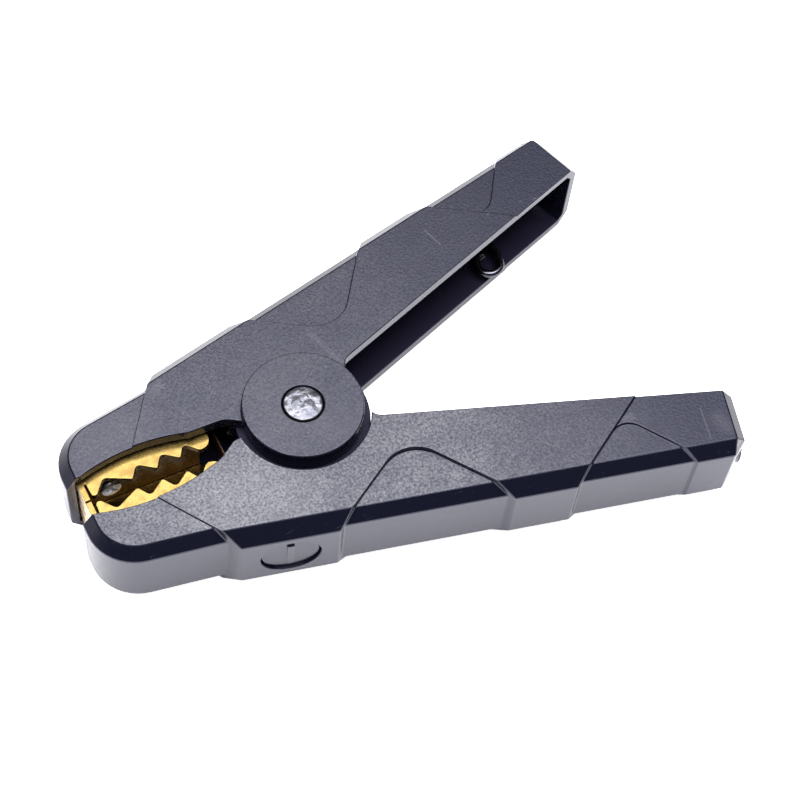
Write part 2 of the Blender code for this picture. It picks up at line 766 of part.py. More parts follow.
def finish(thing, surface, parent):
    """Turn a piece into metres, give it its material and hang it on a pivot empty."""
    thing.data.materials.clear()
    thing.data.materials.append(surface)
    thing.data.transform(Matrix.Scale(MM, 4))
    if thing.type == "MESH":
        thing.data.shade_smooth()
        thing.data.set_sharp_from_angle(angle=math.radians(30.0))
    thing.parent = parent


def pivot_empty(name, turn):
    """Empty on the pivot's axis, turned about X for the half it carries."""
    empty = bpy.data.objects.new(name, None)
    empty.location = Vector(PIVOT_AT) * MM
    empty.rotation_euler = (turn, 0.0, 0.0)
    bpy.context.scene.collection.objects.link(empty)
    return empty


def main():
    for leftover in list(bpy.data.objects):
        bpy.data.objects.remove(leftover)

    plastic = material("black_polyamide", (0.030, 0.032, 0.042), 0.5)
    brass = material("brass", (0.80, 0.57, 0.26), 0.3, 1.0)
    steel = material("zinc_plated_steel", (0.72, 0.72, 0.74), 0.3, 1.0)
    spring_steel = material("spring_steel", (0.55, 0.55, 0.56), 0.35, 1.0)
    copper = material("tinned_copper", (0.62, 0.40, 0.28), 0.45, 1.0)

    upper = pivot_empty("upper_half", 0.0)
    lower = pivot_empty("lower_half", math.pi)
    fixed = pivot_empty("pivot", 0.0)

    pairs = [(shell(), plastic), (jaw(), brass), (jaw_screw(), steel)]
    pairs += [(cable_bolt(), steel), (bolt_plug(), plastic)]
    pairs += [(piece, steel) for piece in bolt_stack()]
    for piece, surface in pairs:
        finish(piece, surface, upper)
        twin = bpy.data.objects.new(piece.name.replace("upper", "lower"), piece.data)
        bpy.context.scene.collection.objects.link(twin)
        twin.parent = lower

    finish(pivot_rivet(), steel, fixed)
    for piece in pivot_rings():
        finish(piece, steel, fixed)
    finish(torsion_spring(), spring_steel, fixed)
    finish(bonding_braid(), copper, fixed)


main()
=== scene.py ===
"""Looks of the ground clamp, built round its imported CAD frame.

The plastic halves, brass jaws, flat washers and sleeve are the CAD solids with their
edges rounded. The rivet, screws, bolts, nuts, lock washers, plugs, spring and braid are
rebuilt in more detail and stand for their CAD nodes, and the braid gains two lugs. Pieces
are drawn in millimetres with the pivot on the Z axis, the jaws towards -X and the upper
half on the +Y side; place() moves them into the row frame.
"""

import json
import math

import bmesh
import bpy
from mathutils import Matrix, Vector, noise

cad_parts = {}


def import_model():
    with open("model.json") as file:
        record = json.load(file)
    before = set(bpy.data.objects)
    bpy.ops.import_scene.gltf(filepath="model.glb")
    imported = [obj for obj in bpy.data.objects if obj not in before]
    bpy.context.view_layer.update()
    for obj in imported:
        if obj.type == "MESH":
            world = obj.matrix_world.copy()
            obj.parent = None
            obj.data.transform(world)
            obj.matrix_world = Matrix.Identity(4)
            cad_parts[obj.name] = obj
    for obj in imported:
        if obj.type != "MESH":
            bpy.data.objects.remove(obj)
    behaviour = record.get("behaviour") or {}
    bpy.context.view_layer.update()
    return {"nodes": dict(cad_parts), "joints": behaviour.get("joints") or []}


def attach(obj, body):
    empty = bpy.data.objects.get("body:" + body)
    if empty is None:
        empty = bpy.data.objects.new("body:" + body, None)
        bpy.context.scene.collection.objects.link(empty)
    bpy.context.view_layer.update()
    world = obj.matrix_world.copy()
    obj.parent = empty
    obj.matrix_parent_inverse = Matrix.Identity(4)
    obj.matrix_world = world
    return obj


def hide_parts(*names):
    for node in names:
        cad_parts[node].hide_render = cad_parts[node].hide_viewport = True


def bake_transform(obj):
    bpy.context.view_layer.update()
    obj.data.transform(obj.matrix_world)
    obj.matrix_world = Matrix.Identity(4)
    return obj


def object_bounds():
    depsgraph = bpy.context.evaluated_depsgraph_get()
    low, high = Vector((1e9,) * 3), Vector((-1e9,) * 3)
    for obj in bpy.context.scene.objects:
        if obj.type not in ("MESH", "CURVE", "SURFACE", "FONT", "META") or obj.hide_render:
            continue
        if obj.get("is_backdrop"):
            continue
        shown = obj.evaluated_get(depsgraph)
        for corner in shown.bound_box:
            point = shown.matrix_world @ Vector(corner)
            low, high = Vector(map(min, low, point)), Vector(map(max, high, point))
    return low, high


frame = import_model()
NODES = frame["nodes"]
PIVOT = Vector(frame["joints"][0]["pos_m"])

MM = 0.001
PIVOT_MM = Vector((PIVOT.x, PIVOT.y, 0.0)) / MM
TO_ROW = Matrix.Translation(PIVOT) @ Matrix.Scale(MM, 4)
TURNS = {"upper": Matrix.Identity(4), "lower": Matrix.Rotation(math.pi, 4, "X")}

# Sizes shared with the CAD solids, in millimetres
WALL_START = Vector((-26.7, 25.0, 0.0))
WALL_ANGLE = 13.3
BOLT_X = -15.7
BOLT_R = 2.5
SCREW_X = -45.4
SCREW_SEAT = 5.9
LUG_DEPTH = 13.1
COIL_R = 8.5
COIL_Z = 3.9
LEG_ANGLE = 28.0
CURL = Vector((66.5, 29.2, 0.0))
CURL_R = 3.1
CURL_Z = -6.3
PLUG_R = 6.65
PLUG_SQUASH = 5.5 / 6.65
STEP_WIDTH = 2.0
RIB_HALF = 0.85
LOCK_WASHER_DEPTH = LUG_DEPTH + 1.3

# Shading: how wide a wide face is, and cosines of the turn to its neighbour, above the
# first of which both are in one plane and below the second of which they share no curve
WIDE_FACE = 0.6
SAME_PLANE = 0.9999
PAST_CURVE = 0.90

# Places in the row frame where a material changes, each as the ends of a soft step; they bound the dusty
# film and painted sheen on the top flats, the painted shade within the channel and the painted highlight
# on its front plate
TOP_FLATS_Z = (22.8, 23.4)
CHANNEL_HALF_HEIGHT = (6.9, 6.3)
BEHIND_PLATE_X = (-71.3, -70.7)
PLATE_FRONT_X = (-71.6, -72.2)
LEVEL = (0.90, 0.98)

# Camera: azimuth, elevation and roll in degrees, then lens and distances
CAMERA_ANGLES = (-33.25, 57.66, 7.31)
CAMERA_LENS = 82.75
CAMERA_TARGET = Vector((25.28, -1.0, 0.0))
CAMERA_DISTANCE = 0.4357


# ---------------------------------------------------------------- shader helpers
class Net:
    """Node tree of one material, with short calls for the nodes used here."""

    def __init__(self, name):
        self.material = bpy.data.materials.new(name)
        self.material.use_nodes = True
        self.tree = self.material.node_tree
        self.tree.nodes.clear()
        place = self.node("TexCoord")
        self.facing = place.outputs["Normal"]
        metres = place.outputs["Object"]
        self.mm = self.node("VectorMath", {0: metres, 3: 1.0 / MM}, operation="SCALE").outputs[0]

    def node(self, kind, values=None, **settings):
        made = self.tree.nodes.new("ShaderNode" + kind)
        for key, value in settings.items():
            setattr(made, key, value)
        for key, value in (values or {}).items():
            if isinstance(value, bpy.types.NodeSocket):
                self.tree.links.new(value, made.inputs[key])
            else:
                made.inputs[key].default_value = value
        return made

    def math(self, operation, first, second=0.0, third=0.0, clamp=False):
        made = self.node("Math", {0: first, 1: second, 2: third}, operation=operation, use_clamp=clamp)
        return made.outputs[0]

    def noise(self, scale, detail=3.0, roughness=0.55, vector=None):
        values = {"Vector": vector or self.mm, "Scale": scale, "Detail": detail, "Roughness": roughness}
        return self.node("TexNoise", values).outputs["Fac"]

    def cells(self, scale, vector=None, feature="F1"):
        values = {"Vector": vector or self.mm, "Scale": scale}
        return self.node("TexVoronoi", values, feature=feature).outputs["Distance"]

    def remap(self, value, low, high, new_low=0.0, new_high=1.0):
        values = {0: value, 1: low, 2: high, 3: new_low, 4: new_high}
        return self.node("MapRange", values, interpolation_type="SMOOTHSTEP").outputs[0]

    def mix(self, share, first, second):
        made = self.node("Mix", data_type="RGBA")
        for index, value in ((0, share), (6, first), (7, second)):
            if isinstance(value, bpy.types.NodeSocket):
                self.tree.links.new(value, made.inputs[index])
            else:
                made.inputs[index].default_value = value if index == 0 else (*value, 1.0)
        return made.outputs[2]

    def stretched(self, scale, turn=0.0):
        """Coordinates squeezed along one direction, for brushed or scratched marks."""
        values = {"Vector": self.mm, "Rotation": (0.0, 0.0, math.radians(turn)), "Scale": scale}
        return self.node("Mapping", values).outputs[0]

    def bump(self, height, strength, distance=0.03, normal=None):
        values = {"Height": height, "Strength": strength, "Distance": distance * MM}
        if normal is not None:
            values["Normal"] = normal
        return self.node("Bump", values).outputs[0]

    def edges(self, radius):
        """1 along edges and 0 on open faces."""
        rounded = self.node("Bevel", {"Radius": radius * MM}, samples=4).outputs[0]
        flat = self.node("NewGeometry").outputs["Normal"]
        same = self.node("VectorMath", {0: rounded, 1: flat}, operation="DOT_PRODUCT").outputs["Value"]
        return self.remap(same, 0.995, 0.90)

    def streak(self, start, end, width):
        """1 on a line drawn across the face, given about the pivot in millimetres."""
        first = Vector((*start, 0.0)) + PIVOT_MM
        run = Vector((*end, 0.0)) - Vector((*start, 0.0))
        flat = self.node("VectorMath", {0: self.mm, 1: (1.0, 1.0, 0.0)}, operation="MULTIPLY").outputs[0]
        offset = self.node("VectorMath", {0: flat, 1: first}, operation="SUBTRACT").outputs[0]
        way = run.normalized()
        along = self.node("VectorMath", {0: offset, 1: way}, operation="DOT_PRODUCT").outputs["Value"]
        along = self.math("MAXIMUM", self.math("MINIMUM", along, run.length), 0.0)
        nearest = self.node("VectorMath", {0: way, 3: along}, operation="SCALE").outputs[0]
        gap = self.node("VectorMath", {0: offset, 1: nearest}, operation="DISTANCE").outputs["Value"]
        return self.remap(gap, width, 0.0)

    def finish(self, **values):
        inputs = {key.replace("_", " "): value for key, value in values.items()}
        shader = self.node("BsdfPrincipled")
        for key, value in inputs.items():
            if isinstance(value, bpy.types.NodeSocket):
                self.tree.links.new(value, shader.inputs[key])
            elif isinstance(value, tuple):
                shader.inputs[key].default_value = (*value, 1.0)
            else:
                shader.inputs[key].default_value = value
        output = self.node("OutputMaterial", {"Surface": shader.outputs[0]})
        output.is_active_output = True
        return self.material


def plastic(name, dust_and_sheen_level, marks):
    """Black glass-filled polyamide: spark-eroded grain on the flat faces, scuffs, and a dusty film mixed
    with painted sheen.

    Dust and painted sheen lie on the top flats only, and each mark is a start, an end, a width and a
    strength.
    """
    net = Net(name)
    upward = net.node("SeparateXYZ", {0: net.facing}).outputs[2]
    level = net.remap(net.math("ABSOLUTE", upward), *LEVEL)
    spot = net.node("SeparateXYZ", {0: net.mm})
    high = net.remap(spot.outputs[2], *TOP_FLATS_Z)
    top = net.math("MULTIPLY", net.remap(upward, *LEVEL), high)
    # Painted shade: slopes and upward faces below the top flats lose most of their shine
    shade_on_slopes_and_ledges = net.math("MULTIPLY", net.remap(upward, 0.30, 0.60), net.math("SUBTRACT", 1.0, top))
    grain = net.noise(1.7, 4.0, 0.65)
    pits = net.cells(1.5)
    patches = net.noise(0.16, 3.0, 0.55)
    blotches = net.noise(0.55, 2.0, 0.5)
    # Painted sheen: the top flats' lightening rises and falls along X, standing in for the overhead
    # light's reflection
    painted_sheen_fade = net.remap(spot.outputs[0], -40.0, -16.0, 0.22, 0.0)
    painted_sheen_fade = net.math("ADD", painted_sheen_fade, net.remap(spot.outputs[0], 6.0, 27.0, 0.42, 0.0))
    painted_sheen_fade = net.math("ADD", painted_sheen_fade, net.remap(spot.outputs[0], 27.0, 64.0, 0.36, 0.0))
    painted_sheen_fade = net.math("ADD", painted_sheen_fade, net.remap(spot.outputs[0], -68.0, -50.0, -0.18, 0.0))
    # Dusty mottling from patches and grain, carried together with the painted sheen
    dust_and_sheen = net.math("MULTIPLY", net.remap(patches, 0.25, 0.75, 0.75, 1.15), painted_sheen_fade)
    dust_and_sheen = net.math("MULTIPLY", dust_and_sheen, net.remap(grain, 0.30, 0.72, 0.15, 1.85))
    dust_and_sheen = net.math("MULTIPLY", dust_and_sheen, top)
    dust_and_sheen = net.math("MULTIPLY", dust_and_sheen, dust_and_sheen_level)
    for start, end, width, strength in marks:
        mark = net.math("MULTIPLY", net.streak(start, end, width), strength)
        dust_and_sheen = net.math("ADD", dust_and_sheen, net.math("MULTIPLY", mark, top))
    drawn_out = net.stretched((0.10, 3.2, 1.0), 31.0)
    scratch = net.remap(net.cells(0.22, drawn_out, "DISTANCE_TO_EDGE"), 0.012, 0.0)
    scratch = net.math("MULTIPLY", scratch, net.remap(blotches, 0.58, 0.75))
    edge_wear_and_highlight = net.edges(0.35)
    colour = net.mix(dust_and_sheen, (0.0037, 0.0041, 0.0092), (0.462, 0.464, 0.445))
    colour = net.mix(net.math("MULTIPLY", scratch, 0.12), colour, (0.50, 0.52, 0.60))
    # Edges lightened a little: partly rubbed wear, partly a painted highlight
    colour = net.mix(net.math("MULTIPLY", edge_wear_and_highlight, 0.02), colour, (0.50, 0.52, 0.64))
    # Painted shade: upward faces below the top flats, in the hollows and gaps, take a flat dark navy
    painted_shade_on_ledges = net.math("MULTIPLY", net.remap(upward, *LEVEL), net.math("SUBTRACT", 1.0, high))
    colour = net.mix(painted_shade_on_ledges, colour, (0.011, 0.010, 0.020))
    rough = net.remap(blotches, 0.25, 0.75, -0.03, 0.03)
    rough = net.math("ADD", rough, net.remap(level, 0.0, 1.0, 0.23, 0.38))
    rough = net.math("SUBTRACT", rough, net.math("MULTIPLY", scratch, 0.10))
    height = net.math("ADD", net.math("MULTIPLY", grain, 1.0), net.math("MULTIPLY", pits, 0.45))
    height = net.math("SUBTRACT", height, net.math("MULTIPLY", scratch, 0.5))
    strength = net.remap(level, 0.0, 1.0, 0.10, 0.42)
    normal = net.node("Bump", {"Height": height, "Strength": strength, "Distance": 0.10 * MM}).outputs[0]
    shine = net.remap(shade_on_slopes_and_ledges, 0.0, 1.0, 0.5, 0.10)
    shine = net.math("MULTIPLY", shine, net.remap(level, 0.0, 1.0, 1.0, 0.60))
    return net.finish(
        Base_Color=colour, Roughness=rough, Normal=normal, IOR=1.56,
        Specular_Tint=(0.79, 0.80, 1.0), Specular_IOR_Level=shine,
    )


def metal(name, base, stain, rough, grain=3.0, brushed=None, dents=0.0, channel=False):
    """Bare metal with fine lines or grain, uneven tarnish, and edges brightened by polish wear and a
    painted highlight.

    A channel gets painted shade on its inner faces and a painted highlight on its front plate.
    """
    net = Net(name)
    vector = net.stretched(brushed) if brushed else None
    fine = net.noise(grain, 4.0, 0.6, vector)
    patches = net.noise(0.45, 3.0)
    pits = net.cells(0.9)
    edge_wear_and_highlight = net.edges(0.18)
    tarnish = net.math("MULTIPLY", net.remap(patches, 0.42, 0.72), 0.55)
    colour = net.mix(tarnish, base, stain)
    # Edges brighter: partly polished wear, partly a painted highlight
    colour = net.mix(net.math("MULTIPLY", edge_wear_and_highlight, 0.35), colour, tuple(min(1.0, 1.08 * c) for c in base))
    if channel:
        spot = net.node("SeparateXYZ", {0: net.mm})
        facing = net.node("SeparateXYZ", {0: net.facing})
        off_middle = net.math("ABSOLUTE", net.math("SUBTRACT", spot.outputs[2], PIVOT.z / MM))
        behind_plate = net.remap(spot.outputs[0], *BEHIND_PLATE_X)
        # Painted shade: faces within the channel, behind the front plate, are darkened to brown
        channel_inside_shade = net.math("MULTIPLY", net.remap(off_middle, *CHANNEL_HALF_HEIGHT), behind_plate)
        colour = net.mix(net.math("MULTIPLY", channel_inside_shade, 0.75), colour, (0.052, 0.023, 0.005))
        plate = net.remap(spot.outputs[0], *PLATE_FRONT_X)
        # Painted highlight: the front plate's faces towards -X are made paler
        front = net.math("MULTIPLY", net.remap(facing.outputs[0], -0.6, -0.9), plate)
        colour = net.mix(front, colour, (0.96, 0.77, 0.52))
    uneven = net.remap(patches, 0.3, 0.7, rough - 0.03, rough + 0.06)
    roughness = net.math("ADD", net.remap(fine, 0.3, 0.7, -0.05, 0.06), uneven)
    height = net.math("ADD", net.math("MULTIPLY", fine, 0.5), net.math("MULTIPLY", pits, dents))
    normal = net.bump(height, 0.35, 0.05)
    return net.finish(Base_Color=colour, Metallic=1.0, Roughness=roughness, Normal=normal)


UPPER_MARKS = [
    ((49.0, 34.0), (50.5, 28.5), 0.32, 0.07),
    ((10.5, 18.0), (13.5, 8.0), 1.30, 0.03),
    ((-28.5, 18.5), (-27.0, 19.5), 2.00, 0.03),
    ((-47.0, 12.0), (-40.0, 13.0), 14.0, 0.030),
    ((-8.0, -3.0), (-2.0, 9.0), 16.0, 0.020),
    ((5.0, -9.0), (7.0, -9.0), 10.0, 0.020),
]
LOWER_MARKS = [
    ((82.0, -46.0), (84.0, -38.0), 0.32, 0.06),
    ((86.5, -42.0), (87.0, -45.0), 3.00, 0.03),
    ((66.0, -33.0), (68.0, -33.2), 1.60, 0.04),
    ((-25.0, -14.0), (-14.0, -18.0), 16.0, 0.050),
]
# The lower half gets about three times the dusty film and painted sheen of the upper, which paints it
# lighter
PLASTIC = {
    "upper": plastic("Black_Polyamide_Upper", 0.046, UPPER_MARKS),
    "lower": plastic("Black_Polyamide_Lower", 0.155, LOWER_MARKS),
}
BRASS = metal(
    "Gold_Plated_Brass", (0.195, 0.138, 0.043), (0.130, 0.078, 0.024), 0.27,
    2.5, (1.0, 6.0, 1.0), channel=True,
)
RIVET = metal("Hammered_Steel", (0.135, 0.137, 0.150), (0.090, 0.096, 0.115), 0.40, 2.0, None, 0.4)
ZINC = metal("Zinc_Plated_Steel", (0.85, 0.85, 0.87), (0.44, 0.43, 0.40), 0.30, 4.0)
SPRING = metal("Drawn_Spring_Steel", (0.090, 0.092, 0.105), (0.045, 0.045, 0.050), 0.22, 5.0)
COPPER = metal("Braided_Copper", (0.10, 0.060, 0.040), (0.05, 0.030, 0.020), 0.40, 5.0)


# ---------------------------------------------------------------- mesh helpers
def direction(angle):
    return Vector((math.cos(math.radians(angle)), math.sin(math.radians(angle)), 0.0))


def mesh_object(name, vertices, faces):
    """Mesh object with its faces pointing out."""
    mesh = bpy.data.meshes.new(name)
    mesh.from_pydata([Vector(vertex) for vertex in vertices], [], faces)
    body = bmesh.new()
    body.from_mesh(mesh)
    bmesh.ops.recalc_face_normals(body, faces=body.faces)
    body.to_mesh(mesh)
    body.free()
    thing = bpy.data.objects.new(name, mesh)
    bpy.context.scene.collection.objects.link(thing)
    return thing


def rings_object(name, rings, closed=False):
    """Skin over rings of equal length; open ends are filled with one face each."""
    count = len(rings[0])
    vertices = [spot for ring in rings for spot in ring]
    faces = []
    last = len(rings) if closed else len(rings) - 1
    for level in range(last):
        low, high = level * count, (level + 1) % len(rings) * count
        for index in range(count):
            after = (index + 1) % count
            faces.append((low + index, low + after, high + after, high + index))
    if not closed:
        faces.append(tuple(range(count)))
        faces.append(tuple(range(len(vertices) - count, len(vertices))))
    return mesh_object(name, vertices, faces)


def turned(name, profile, sides=64, shape=None):
    """Solid of revolution about Z from (radius, height) pairs; shape may move each point."""
    rings = []
    for radius, height in profile:
        ring = []
        for side in range(sides):
            spot = direction(360.0 * side / sides) * max(radius, 0.02)
            spot.z = height
            ring.append(shape(spot) if shape else spot)
        rings.append(ring)
    return rings_object(name, rings)


def arc(centre, radius, first, last, steps):
    """Profile points on an arc, angles in degrees."""
    points = []
    for step in range(steps + 1):
        angle = math.radians(first + (last - first) * step / steps)
        points.append((centre[0] + radius * math.cos(angle), centre[1] + radius * math.sin(angle)))
    return points


def tube(name, path, radius, sides=14):
    """Round wire along a path, with domed ends."""
    tangents = []
    for index in range(len(path)):
        before, after = path[max(index - 1, 0)], path[min(index + 1, len(path) - 1)]
        tangents.append((after - before).normalized())
    across = tangents[0].orthogonal().normalized()
    rings = []
    for index, (here, along) in enumerate(zip(path, tangents)):
        across = (across - along * across.dot(along)).normalized()
        other = along.cross(across)
        stops = [(0.0, 1.0)]
        if index == 0:
            stops = [direction(180.0 - turn).xy for turn in (8, 35, 60)] + stops
        if index == len(path) - 1:
            stops = stops + [direction(turn).xy for turn in (60, 35, 8)]
        for push, share in stops:
            ring = []
            for side in range(sides):
                turn = 2.0 * math.pi * side / sides
                spot = across * math.cos(turn) + other * math.sin(turn)
                ring.append(here + along * push * radius * 0.6 + spot * radius * share)
            rings.append(ring)
    return rings_object(name, rings)


def smooth_path(points, step, passes):
    """Evenly spaced copy of a path with its corners eased."""
    dense = []
    for start, end in zip(points, points[1:]):
        count = max(1, round((end - start).length / step))
        dense += [start.lerp(end, index / count) for index in range(count)]
    dense.append(points[-1])
    for _ in range(passes):
        eased = [a.lerp(c, 0.5).lerp(b, 0.5) for a, b, c in zip(dense, dense[1:], dense[2:])]
        dense = [dense[0]] + eased + [dense[-1]]
    return dense


def combine(target, tool, operation):
    """Exact Boolean; the tool is removed."""
    modifier = target.modifiers.new(operation, "BOOLEAN")
    modifier.operation = operation
    modifier.object = tool
    bake(target)
    bpy.data.objects.remove(tool)
    return target


def bake(thing):
    """Turn the modifiers into the mesh."""
    bpy.context.view_layer.update()
    graph = bpy.context.evaluated_depsgraph_get()
    mesh = bpy.data.meshes.new_from_object(thing.evaluated_get(graph))
    thing.modifiers.clear()
    thing.data = mesh


def block(name, low, high):
    """Box used as a cutter."""
    rings = []
    for z in (low[2], high[2]):
        corners = [(low[0], low[1]), (high[0], low[1]), (high[0], high[1]), (low[0], high[1])]
        rings.append([Vector((*corner, z)) for corner in corners])
    return rings_object(name, rings)


def round_edges(thing, width, angle=25.0, segments=3):
    """Round the edges of a millimetre mesh and even out its shading."""
    bevel = thing.modifiers.new("Round", "BEVEL")
    bevel.width = width
    bevel.segments = segments
    bevel.limit_method = "ANGLE"
    bevel.angle_limit = math.radians(angle)
    bevel.use_clamp_overlap = False
    bevel.miter_outer = "MITER_ARC"
    bake(thing)
    body = bmesh.new()
    body.from_mesh(thing.data)
    bmesh.ops.remove_doubles(body, verts=body.verts, dist=0.002)
    bmesh.ops.triangulate(body, faces=[face for face in body.faces if len(face.verts) > 4])
    bmesh.ops.recalc_face_normals(body, faces=body.faces)
    body.to_mesh(thing.data)
    body.free()


def shade(thing, sharp=32.0):
    thing.data.shade_smooth()
    thing.data.set_sharp_from_angle(angle=math.radians(sharp))


def level_faces(thing):
    """Let the large flat faces decide the shading of the rounded edges between them.

    Wide faces with no wide neighbour at a slight angle are flat and are shaded so.
    """
    weighted = thing.modifiers.new("Weighted", "WEIGHTED_NORMAL")
    weighted.mode = "FACE_AREA"
    weighted.weight = 100
    weighted.keep_sharp = True
    bake(thing)
    mesh = thing.data
    normals = [corner.vector.copy() for corner in mesh.corner_normals]
    wide, beside = [], {}
    for face in mesh.polygons:
        spots = [mesh.vertices[index].co for index in face.vertices]
        longest = max((after - here).length for here, after in zip(spots, spots[1:] + spots[:1]))
        if 2.0 * face.area / longest > WIDE_FACE:
            wide.append(face)
            for key in face.edge_keys:
                beside.setdefault(key, []).append(face.normal.copy())
    for face in wide:
        turns = [face.normal.dot(other) for key in face.edge_keys for other in beside[key]]
        if all(turn > SAME_PLANE or turn < PAST_CURVE for turn in turns):
            for loop in face.loop_indices:
                normals[loop] = face.normal.copy()
    mesh.normals_split_custom_set(normals)


def place(thing, matrix=Matrix.Identity(4)):
    """Move a millimetre mesh into the row frame."""
    thing.data.transform(TO_ROW @ matrix)
    thing.data.update()


def dress(thing, material, body, stands_for=None):
    """Give a finished piece its material, its body and the CAD node it stands for.
    """
    thing.data.materials.clear()
    thing.data.materials.append(material)
    for face in thing.data.polygons:
        face.material_index = 0
    if body:
        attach(thing, body)
    if stands_for:
        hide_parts(stands_for)


# ---------------------------------------------------------------- CAD solids with rounded edges
def refined(node_name, name, width, sharp=32.0, segments=3):
    """Copy of a CAD solid with rounded edges, in millimetres about the pivot."""
    mesh = NODES[node_name].data.copy()
    mesh.attributes.remove(mesh.attributes["custom_normal"])
    mesh.transform(TO_ROW.inverted())
    body = bmesh.new()
    body.from_mesh(mesh)
    bmesh.ops.remove_doubles(body, verts=body.verts, dist=0.003)
    bmesh.ops.dissolve_limit(body, angle_limit=math.radians(1.0), verts=body.verts, edges=body.edges)
    # The sides of the steps are narrow and C-shaped, and only convex parts of them bevel cleanly
    narrow = [face for face in body.faces if 2.0 * face.calc_area() < STEP_WIDTH * face.calc_perimeter()]
    bmesh.ops.connect_verts_concave(body, faces=narrow)
    body.to_mesh(mesh)
    body.free()
    thing = bpy.data.objects.new(name, mesh)
    bpy.context.scene.collection.objects.link(thing)
    round_edges(thing, width, 25.0, segments)
    shade(thing, sharp)
    level_faces(thing)
    place(thing)
    return thing


# ---------------------------------------------------------------- bolt axis
def bolt_frame():
    """Matrix whose origin is on the outer wall and whose Z runs down the cable bolt."""
    along = direction(WALL_ANGLE)
    start = WALL_START + along * ((BOLT_X - WALL_START.x) / along.x)
    down = direction(WALL_ANGLE - 90.0)
    columns = Matrix((along, Vector((0.0, 0.0, 1.0)), down)).transposed()
    if columns.determinant() < 0.0:
        columns = Matrix((along, Vector((0.0, 0.0, -1.0)), down)).transposed()
    return Matrix.Translation(start) @ columns.to_4x4()


BOLT = bolt_frame()
SCREW = Matrix.Translation((SCREW_X, 0.0, 0.0)) @ Matrix.Rotation(-math.pi / 2.0, 4, "X")


def threaded(name, radius, pitch, low, high, sides=32):
    """Rod with a helical V thread."""
    depth = pitch * 0.55
    steps = int((high - low) / pitch * 8)
    rings = []
    for step in range(steps + 1):
        height = low + (high - low) * step / steps
        ring = []
        for side in range(sides):
            turn = (height / pitch + side / sides) % 1.0
            cut = depth * abs(2.0 * turn - 1.0)
            lead = min(1.0, (high - height) / (0.9 * pitch))
            spot = direction(360.0 * side / sides) * (radius - cut - (1.0 - lead) * depth)
            spot.z = height
            ring.append(spot)
        rings.append(ring)
    return rings_object(name, rings)


# ---------------------------------------------------------------- pieces of each half
def cable_bolt(name):
    """Round-head bolt with a hexagon socket and a threaded shank."""
    profile = [(0.0, 5.2), (3.0, 5.2), (3.6, 5.3)] + arc((3.55, 6.15), 0.85, -85.0, 0.0, 6)
    profile += [(4.4, 7.0), (4.3, 7.12), (2.48, 7.12), (2.48, 12.0), (2.2, 12.2), (0.0, 12.2)]
    bolt = turned(name, profile, 48)
    socket = turned("socket", [(2.1, 4.5), (2.1, 6.6), (0.0, 7.0)], 6)
    combine(bolt, socket, "DIFFERENCE")
    return combine(bolt, threaded("thread", 2.45, 0.8, 11.9, 20.35), "UNION")


def hex_nut(name, low, high, across):
    """Nut with turned corners and a bore."""
    nut = turned(name, [(across, low), (across, high)], 6)
    rim = across * 0.9
    outer = across + 0.05
    profile = [(0.0, low - 0.5), (rim, low - 0.01), (outer, low + 0.35)]
    profile += [(outer, high - 0.35), (rim, high + 0.01), (0.0, high + 0.5)]
    combine(nut, turned("turned_corners", profile, 48), "INTERSECT")
    mouth, inner = BOLT_R + 1.2, BOLT_R + 0.25
    bore = [(0.0, low - 1.0), (mouth, low - 1.0), (inner, low + 0.3)]
    bore += [(inner, high - 0.3), (mouth, high + 1.0), (0.0, high + 1.0)]
    return combine(nut, turned("bore", bore, 48), "DIFFERENCE")


def lock_washer(name, low, outer, inner):
    """Split spring washer."""
    rings = []
    corners = [(inner, 0.0), (outer, 0.0), (outer, 0.85), (inner, 0.85)]
    for step in range(61):
        out = direction(12.0 + 336.0 * step / 60)
        base = Vector((0.0, 0.0, low + 0.35 * step / 60))
        rings.append([out * radius + base + Vector((0.0, 0.0, height)) for radius, height in corners])
    return rings_object(name, rings)


def jaw_screw(name):
    """Pan-head screw with a cross recess."""
    seat = SCREW_SEAT
    profile = [(0.0, seat - 1.15), (1.0, seat - 1.13), (1.8, seat - 1.03)]
    profile += arc((1.95, seat - 0.40), 0.65, -75.0, 0.0, 6)
    profile += [(2.6, seat), (1.72, seat + 0.02), (1.72, 8.0), (1.5, 8.2), (0.0, 8.2)]
    screw = turned(name, profile, 48)
    for turn in (20.0, 110.0):
        slot = block("slot", (-1.55, -0.30, seat - 3.0), (1.55, 0.30, seat - 0.60))
        slot.data.transform(Matrix.Rotation(math.radians(turn), 4, "Z"))
        combine(screw, slot, "DIFFERENCE")
    return combine(screw, threaded("thread", 1.7, 0.9, 7.9, 15.5, 24), "UNION")


def bolt_plug(name):
    """Oval plug with a low raised rib that runs out at one side."""
    profile = [(0.0, 0.7), (PLUG_R - 0.25, 0.7), (PLUG_R - 0.07, 0.77), (PLUG_R, 0.95)]
    profile += [(PLUG_R, 4.1), (PLUG_R - 0.2, 4.3), (0.0, 4.3)]
    plug = turned(name, profile, 96)
    plug.data.transform(Matrix.Diagonal((1.0, PLUG_SQUASH, 1.0, 1.0)))
    rib = block("rib", (-RIB_HALF, -4.9, 0.25), (RIB_HALF, 4.0, 2.0))
    # One end of the rib's outer face sinks to just above the plug's own face
    for spot in rib.data.vertices:
        if spot.co.y < 0.0 and spot.co.z < 0.5:
            spot.co.z = 0.62
    if (BOLT @ Vector((0.0, 1.0, 0.0)) - BOLT.translation).z > 0.0:
        rib.data.transform(Matrix.Rotation(math.pi, 4, "Z"))
    combine(plug, rib, "UNION")
    round_edges(plug, 0.07, 50.0, 2)
    return plug


